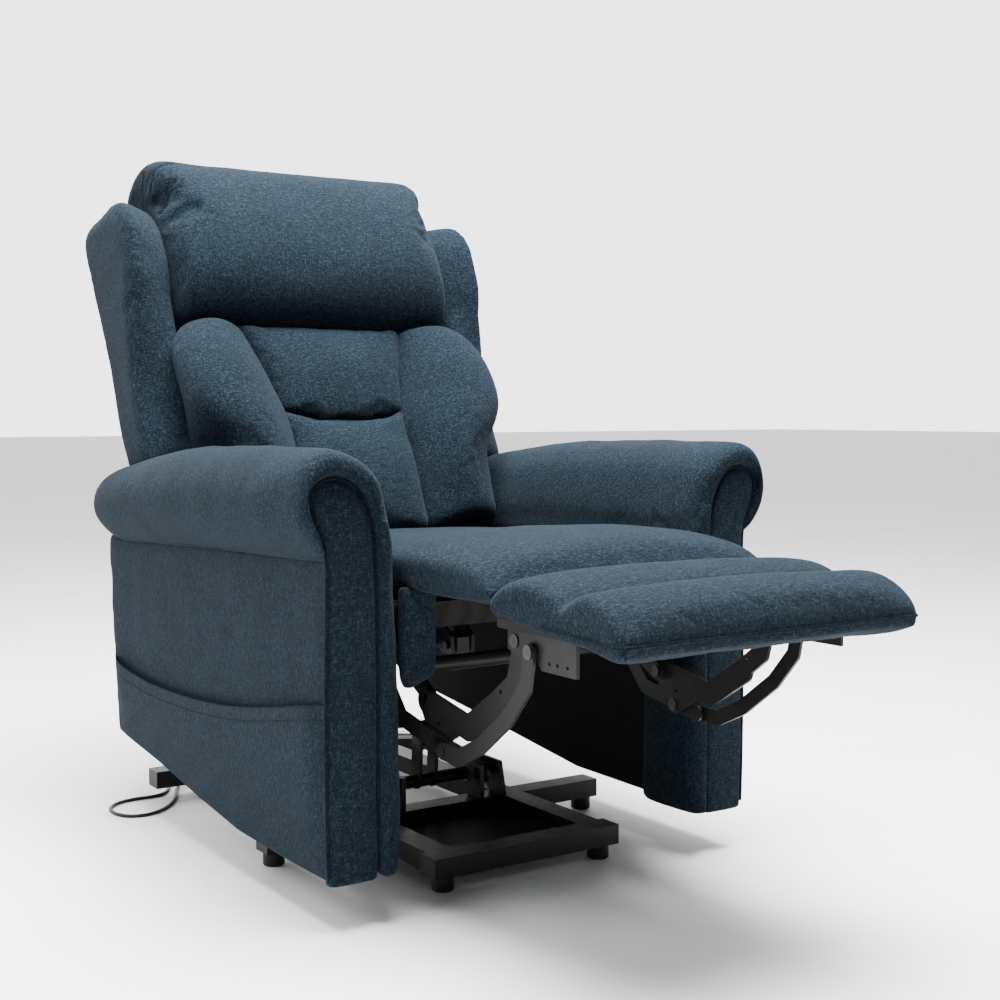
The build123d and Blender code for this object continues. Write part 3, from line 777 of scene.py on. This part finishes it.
# Heights of the roll's top and foot, at depths behind the arms' front faces
ROLL_TOP = [(-14, 640), (170, 642), (350, 639), (500, 629), (670, 607), (815, 582), (868, 562)]
ROLL_LOW = [(-14, 482), (170, 477), (350, 472), (500, 467), (670, 461), (815, 456), (868, 454)]
# Section of the arm above its seams, at the front: an upright inner side, and a round that overhangs outwards
ROLL_SECTION = [(262, 482), (264, 509), (269, 542), (282, 590), (296, 611), (313, 625), (335, 635),
                (357, 640), (378, 634), (393, 619), (402, 598), (405, 573), (401, 549), (391, 528),
                (377, 510), (364, 498), (340, 488), (300, 482)]
SECTION_LOW, SECTION_RISE = 482, 158
SCROLL = (338, 556)        # middle of the scroll head, as (x, z)
REAR_MIDDLE = (326, 508)   # what the roll's rear end shrinks to, as (x, z)
SCROLL_HEAD = [(362, 497), (369, 524), (380, 547), (385, 573), (376, 591), (350, 600), (321, 588), (300, 556),
               (291, 500)]
# The front panel's edge, up its outer side, round the scroll head and down its inner side
FRONT_LINE = smooth_line([(362, 61), (364, 180), (364, 300), (361, 449)] + SCROLL_HEAD
                         + [(288, 398), (288, 250), (288, 61)], 6)


def arm_ring(y, shrink, centre):
    """Section of the roll at a depth, drawn in towards a centre by a share."""
    top, low = along(ROLL_TOP, y), along(ROLL_LOW, y)
    ring = []
    for x, z in smooth_line(ROLL_SECTION, 4, closed=True):
        z = low + (z - SECTION_LOW) / SECTION_RISE * (top - low)
        ring.append(point(x + (centre[0] - x) * shrink, y, z + (centre[1] - z) * shrink))
    return ring


# Ends of the roll, as depth and share shrunk: its lip round the scroll head, and its rounded rear
ROLL_LIP = [(-13, 0.42), (-14, 0.30), (-14, 0.20), (-12, 0.13), (-8, 0.08), (0, 0.035), (12, 0.01), (26, 0.0)]
ROLL_REAR = [(770, 0.01), (795, 0.04), (815, 0.09), (830, 0.17), (840, 0.29), (845, 0.45)]


def make_roll():
    """Padded roll along the arm's top, from its lip to its rear end."""
    rings = [arm_ring(y, shrink, SCROLL) for y, shrink in ROLL_LIP]
    rings += [arm_ring(y, 0, SCROLL) for y in range(50, 760, 30)]
    rings += [arm_ring(y, shrink, REAR_MIDDLE) for y, shrink in ROLL_REAR]
    return remesh(loft("right_roll_cover", rings), 7, 3)


def sink_panel(piece, floor=7, lip=-14, run=13):
    """Push a lip's skin back behind the inset front panel, with a rounded wall along the panel's edge."""
    at = coords(piece)
    edge = np.array([(x / 1000, z / 1000) for x, z in FRONT_LINE])
    flat = at[:, [0, 2]]
    inside = np.zeros(len(flat), bool)
    near = np.full(len(flat), 1e9)
    for a, b in zip(edge, np.roll(edge, -1, axis=0)):
        crosses = (a[1] > flat[:, 1]) != (b[1] > flat[:, 1])
        rise = b[1] - a[1] if b[1] != a[1] else 1e-9
        inside ^= crosses & (flat[:, 0] < a[0] + (flat[:, 1] - a[1]) / rise * (b[0] - a[0]))
        t = np.clip((flat - a) @ (b - a) / max((b - a) @ (b - a), 1e-12), 0, 1)
        near = np.minimum(near, np.linalg.norm(flat - a - np.outer(t, b - a), axis=1))
    away = np.where(inside, 0, near) * 1000
    wall = floor + (lip - floor) * np.sin(np.pi / 2 * np.clip(away / run, 0, 1))
    wall = np.where(away > run, -1000, wall)
    at[:, 1] = np.maximum(at[:, 1], (wall - ORIGIN_Y) / 1000)
    set_coords(piece, at)


# Outline of the outer side, as (y, z)
SIDE = [(1, 503), (220, 494), (440, 486), (640, 479), (862, 472), (862, 440), (853, 330), (838, 190),
        (831, 136), (824, 124), (740, 115), (625, 104), (455, 81), (303, 64), (150, 62), (8, 63), (1, 70)]
SIDE_X = (337.5, 353.5)
# The arm's rear edge, as depth at a height, and how far its rear panel reaches inwards
SIDE_REAR = [(136, 831), (190, 838), (330, 853), (440, 861), (466, 861)]
REAR_PANEL_IN = 277
REAR_PANEL_THICK = 14


def make_side():
    """Padded outer side, with its cloth turned round the arm's rear end."""
    made = prism("right_side_cover", SIDE, *SIDE_X, point)
    rings = []
    for z in range(128, 466, 16):
        rear = np.interp(z, *zip(*SIDE_REAR))
        front = rear - REAR_PANEL_THICK
        corners = ((REAR_PANEL_IN, front), (SIDE_X[1], front), (SIDE_X[1], rear), (REAR_PANEL_IN, rear))
        rings.append([point(x, y, z) for x, y in corners])
    panel = loft("rear_panel", rings)
    both = bmesh.new()
    both.from_mesh(made.data)
    both.from_mesh(panel.data)
    both.to_mesh(made.data)
    both.free()
    bpy.data.objects.remove(panel)
    return remesh(made, 6, 3)


BAND_LOW, BAND_LONG = 62, 486
BAND_OUTER = 290
BAND_INNER = [(62, 254), (300, 254), (509, 266), (548, 274)]     # x of its inner face, at heights


def make_band():
    """Padded strip down the inner front edge of the arm, running up into the roll's lip."""
    line = smooth_line([(0, 118), (-2, 60), (-1, 16), (4, -3), (14, -12), (24, -13), (33, -4), (34, 118)], 4)
    rings = []
    for k in range(25):
        height = BAND_LOW + BAND_LONG * k / 24
        inner = np.interp(height, *zip(*BAND_INNER))
        wide = BAND_OUTER - inner
        tuck = 6 * max(0.0, 1 - k / 1.5)
        ring = []
        for x, y in line:
            across = inner + x * wide / 36 + (wide - x) * tuck / 40
            ring.append(point(across, y + (50 - y) * tuck / 120, height))
        rings.append(ring)
    return remesh(loft("right_band_cover", rings), 6, 3)


# The inset front panel's rings, as share of its outline and depth
FRONT_DOME = [(1.0, 16), (1.0, 7), (0.975, 3), (0.92, 0), (0.78, -2), (0.4, -3)]


def make_front():
    """Inset front panel with its scroll head, slightly domed."""
    rings = []
    for share, y in FRONT_DOME:
        ring = []
        for x, z in FRONT_LINE:
            keep_x = 326 if z < 480 else 340
            keep_z = min(max(z, 80), 560)
            ring.append(point(keep_x + (x - keep_x) * share, y, keep_z + (z - keep_z) * share))
        rings.append(ring)
    return remesh(loft("right_front_cover", rings), 5, 2)


POCKET_TOP = [(4, 303), (39, 300), (162, 277), (298, 256), (450, 243), (620, 239), (713, 244), (800, 253),
              (852, 262)]
POCKET_LOW = [(8, 66), (150, 65), (303, 67), (455, 84), (625, 107), (824, 127), (852, 132)]
POCKET_REAR = [(0, 821), (0.5, 830), (1, 839)]     # its rear edge's depth, at shares of its height
POCKET_FRONT = 4
POCKET_X = 355


def make_pocket():
    """Cloth pocket on the outer side: sewn in along its front, rear and foot, standing proud at its hem."""
    sheets = []
    columns, rows = 60, 22
    for depth in (0.0, 3.4):
        for j in range(rows + 1):
            for i in range(columns + 1):
                rise = j / rows
                rear_edge = np.interp(rise, *zip(*POCKET_REAR))
                y = POCKET_FRONT + (rear_edge - POCKET_FRONT) * i / columns
                low = np.interp(y, *zip(*POCKET_LOW))
                top = along(POCKET_TOP, y)
                z = low + (top - low) * rise
                y_edge = math.sin(math.pi / 2 * min(1.0, min(y - POCKET_FRONT, rear_edge - y) / 70))
                stand = -1.5 + 11.5 * y_edge * math.sin(math.pi / 2 * min(1, rise * 1.15)) ** 0.8
                creases = 1.3 * math.sin(0.045 * y + 0.075 * z) * y_edge * (1 - rise) * min(1, rise * 4)
                hem = 1.4 * max(0.0, 1 - abs(rise - 0.985) / 0.03)
                outer = (depth + hem) * y_edge if depth else 0
                sheets.append(point(POCKET_X + stand + creases + outer, y, z))
    faces = []
    width = columns + 1
    layer = width * (rows + 1)
    for j in range(rows):
        for i in range(columns):
            a = j * width + i
            faces.append((a, a + width, a + width + 1, a + 1))
            faces.append((layer + a, layer + a + 1, layer + a + width + 1, layer + a + width))
    rim = list(range(columns)) + [width * j + columns for j in range(rows)]
    rim += [width * rows + i for i in range(columns, 0, -1)] + [width * j for j in range(rows, 0, -1)]
    for a, b in zip(rim, rim[1:] + rim[:1]):
        faces.append((a, b, layer + b, layer + a))
    return mesh_object("right_pocket_cover", sheets, faces)


# ---------------------------------------------------------------- seat and footrest

def pad_ring(y, half, top, edge_drop, bottom, round_by):
    """Section of a pad at a depth: a crowned top with rounded sides, and a flat bottom."""
    ring = []
    for k in range(33):
        t = -1 + 2 * k / 32
        x = half * math.sin(math.pi / 2 * t) * 0.999
        z = top - edge_drop * abs(x / half) ** 2.4 - round_off(half - abs(x), round_by, round_by * 0.8)
        ring.append(point(x, y, max(z, bottom + 4)))
    for k in range(17):
        t = 1 - 2 * k / 16
        ring.append(point((half - 3) * t, y, bottom))
    return ring


# Heights of the pads' tops and bottoms, and half their widths, at depths behind the arms' front faces
SEAT_TOP = [(-196, 466), (-184, 480), (-165, 497), (-140, 507), (-100, 514), (-40, 517), (20, 516), (90, 510),
            (150, 504), (253, 496), (350, 490), (440, 484), (520, 475), (558, 462)]
SEAT_LOW = [(-196, 449), (-140, 446), (-60, 446), (0, 449), (26, 447), (34, 430), (300, 430), (558, 430)]
SEAT_HALF = [(-196, 243), (-120, 243), (-60, 245), (-20, 250), (30, 251), (558, 251)]


def make_seat():
    """Seat cushion, whose cover runs on over the hinged pad in front."""
    rings = []
    for y in list(range(-196, 30, 9)) + list(range(30, 558, 22)) + [558]:
        top, bottom, half = along(SEAT_TOP, y), along(SEAT_LOW, y), along(SEAT_HALF, y)
        rings.append(pad_ring(y, half, top, min(20, (top - bottom) * 0.3), bottom, 17))
    return remesh(loft("seat_cover", rings), 7, 3)


# The same for the footrest, at depths in front of the arms
PAD_TOP = [(188, 463), (199, 473), (222, 483), (255, 487), (290, 483), (318, 474), (333, 464), (347, 471),
           (370, 480), (400, 479), (430, 469), (450, 455), (459, 443)]
PAD_LOW = [(188, 436), (268, 425), (376, 416), (440, 410), (459, 414)]


def make_footrest():
    """Footrest pad with two soft rolls across it."""
    rings = []
    for depth in list(range(188, 440, 8)) + [443, 448, 452, 456, 459]:
        top, bottom = along(PAD_TOP, depth), along(PAD_LOW, depth)
        half = 245 - 5 * max(0.0, (depth - 449) / 10)
        rings.append(pad_ring(-depth, half, top, 9, bottom, 13))
    return remesh(loft("footrest_cover", rings), 5, 3)


def make_cheek():
    """Small padded flap that hangs below a front corner of the seat."""
    ring = smooth_line([(199, 452), (199, 345), (206, 326), (222, 320), (250, 322), (251, 452)], 4)
    rings = [[point(x + (226 - x) * s, y, z + (390 - z) * s) for x, z in ring]
             for y, s in ((16, 0.05), (8, 0.0), (-2, 0.02), (-8, 0.08))]
    return remesh(loft("right_cheek_cover", rings), 5, 3)


def foot_edge(pad):
    """Path round the footrest's lower edge, on its skin."""
    line = [(-246, -300, 434), (-247, -400, 429), (-246, -440, 428), (-240, -455, 428), (-226, -461, 428)]
    line += [(x, -462, 428) for x in range(-200, 201, 40)]
    line += [(-x, y, z) for x, y, z in reversed(line[:5])]
    middle = point(0, -330, 428)
    tree = skin_tree(pad)
    path = []
    for at in smooth_line(line, 4):
        outside = middle + (point(*at) - middle) * 1.2
        path.append(tree.ray_cast(outside, (middle - outside).normalized())[0] or point(*at))
    return path


# ---------------------------------------------------------------- put together

headrest = make_headrest()
wing = make_wing()
lobe = make_lobe()
upper_pad = make_centre_pad("centre_pad_upper", SMILE - 2, BACK_HIGH, 20)
lower_pad = make_centre_pad("centre_pad_lower", BACK_LOW, SMILE + 3, 22)
rear = make_rear_cover()
roll = make_roll()
arm_side = make_side()
band = make_band()
front = make_front()
pocket = make_pocket()
seat = make_seat()
footrest = make_footrest()
cheek = make_cheek()

# The pieces that are blown up as cloth, and how far each may swell; the inset front panel isn't
SWELLS = [(headrest, 12), (wing, 8), (lobe, 10), (upper_pad, 4), (lower_pad, 4), (rear, 3), (roll, 4),
          (arm_side, 3), (band, 3), (seat, 6), (footrest, 6), (cheek, 3)]
swell(SWELLS)
for piece in [row[0] for row in SWELLS] + [front]:
    rumple(piece, 70, 1.6)
    refine(piece)
refine(pocket)
sink_panel(roll)
sink_panel(band)
gather(headrest, 1)
gather(headrest, -1)

panel_piping = rope("right_panel_piping", [point(x, 3, max(z, 75)) for x, z in FRONT_LINE], 3.0)
# Under the roll's outer side, bending in at its rear end
roll_line = [point(359.5 - 6 * max(0, (y - 760) / 60) ** 2, y, 497 - 0.035 * y) for y in range(4, 821, 24)]
roll_piping = rope("right_roll_piping", roll_line, 2.6)
hem_line = [point(380, y, along(POCKET_TOP, y) - 20) for y in range(20, 821, 20)]
hem_thread = rope("right_pocket_thread", on_skin(pocket, hem_line, (1, 0, 0), -0.2), 0.8)
foot_piping = rope("footrest_piping", foot_edge(footrest), 2.4)

covers(headrest, "backrest", "headrest")
covers(upper_pad, "backrest", "centre_back_pads")
covers(lower_pad, "backrest")
covers(rear, "backrest", "back_rear_cover")
for name, piece, body, left_node, right_node in (
    ("wing", wing, "backrest", "left_wing", "right_wing"),
    ("lobe", lobe, "backrest", "left_back_lobe", "right_back_lobe"),
    ("roll", roll, "chair", "left_arm_roll", "right_arm_roll"),
    ("side", arm_side, "chair", "left_arm_side", "right_arm_side"),
    ("pocket", pocket, "chair", "left_arm_pocket", "right_arm_pocket"),
    ("band", band, "chair", "arm_inner_bands", None),
    ("front", front, "chair", "arm_front_panels", None),
    ("cheek", cheek, "chair", "seat_cheeks", None),
):
    other = mirror_object(piece, f"left_{name}_cover")
    covers(other, body, left_node)
    covers(piece, body, *([right_node] if right_node else []))
covers(seat, None, "seat_cushion", "bridge_pad")
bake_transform(seat)
covers(footrest, "footrest", "footrest_pad")
sewn(foot_piping, "footrest", SHADED_PIPING)
for piece, material in ((panel_piping, SHADED_PIPING), (roll_piping, SHADED_PIPING), (hem_thread, SEWN)):
    sewn(mirror_object(piece, piece.name.replace("right", "left")), "chair", material)
    sewn(piece, "chair", material)


# ---------------------------------------------------------------- floor and light

FLOOR_HALF = 40            # metres
ROOM_LIGHT, WALL_LIGHT = 0.22, 3.6


def make_stage():
    """Pale floor, a bright wall of light behind the chair, and two lamps over it."""
    corners = [(-FLOOR_HALF, -FLOOR_HALF, 0), (FLOOR_HALF, -FLOOR_HALF, 0), (FLOOR_HALF, FLOOR_HALF, 0),
               (-FLOOR_HALF, FLOOR_HALF, 0)]
    floor = mesh_object("floor", corners, [(0, 1, 2, 3)])
    s = Shader("floor")
    colour = s.ramp(s.noise(3, 4.0), [(0.3, (0.78, 0.78, 0.77)), (0.7, (0.84, 0.84, 0.83))])
    dress(floor, s.finish(colour, 0.6, s.bump(s.noise(60, 4.0), 0.0006, 0.3)))

    # A bright wall behind the chair and a dim room in front of it
    world = bpy.data.worlds.new("studio")
    world.use_nodes = True
    nodes, links = world.node_tree.nodes, world.node_tree.links
    spread = nodes.new("ShaderNodeMapRange")
    spread.interpolation_type = "SMOOTHSTEP"
    spread.inputs["From Min"].default_value = 0.0
    spread.inputs["From Max"].default_value = 0.6
    spread.inputs["To Min"].default_value = ROOM_LIGHT
    spread.inputs["To Max"].default_value = WALL_LIGHT
    axes = nodes.new("ShaderNodeSeparateXYZ")
    links.new(nodes.new("ShaderNodeTexCoord").outputs["Generated"], axes.inputs[0])
    links.new(axes.outputs["Y"], spread.inputs["Value"])
    links.new(spread.outputs["Result"], nodes["Background"].inputs["Strength"])
    nodes["Background"].inputs["Color"].default_value = (1.0, 1.0, 1.0, 1)
    bpy.context.scene.world = world

    for name, at, aim, size, power in (
        ("key", (-3.0, -0.4, 2.8), (0, 0, 0.5), 1.8, 80),
        ("top", (0.1, -0.1, 3.4), (0, 0, 0.4), 2.2, 900),
    ):
        lamp = bpy.data.lights.new(name, "AREA")
        lamp.size = size
        lamp.energy = power
        holder = bpy.data.objects.new(name, lamp)
        holder.location = at
        holder.rotation_euler = (Vector(aim) - Vector(at)).to_track_quat("-Z", "Y").to_euler()
        bpy.context.scene.collection.objects.link(holder)


make_stage()
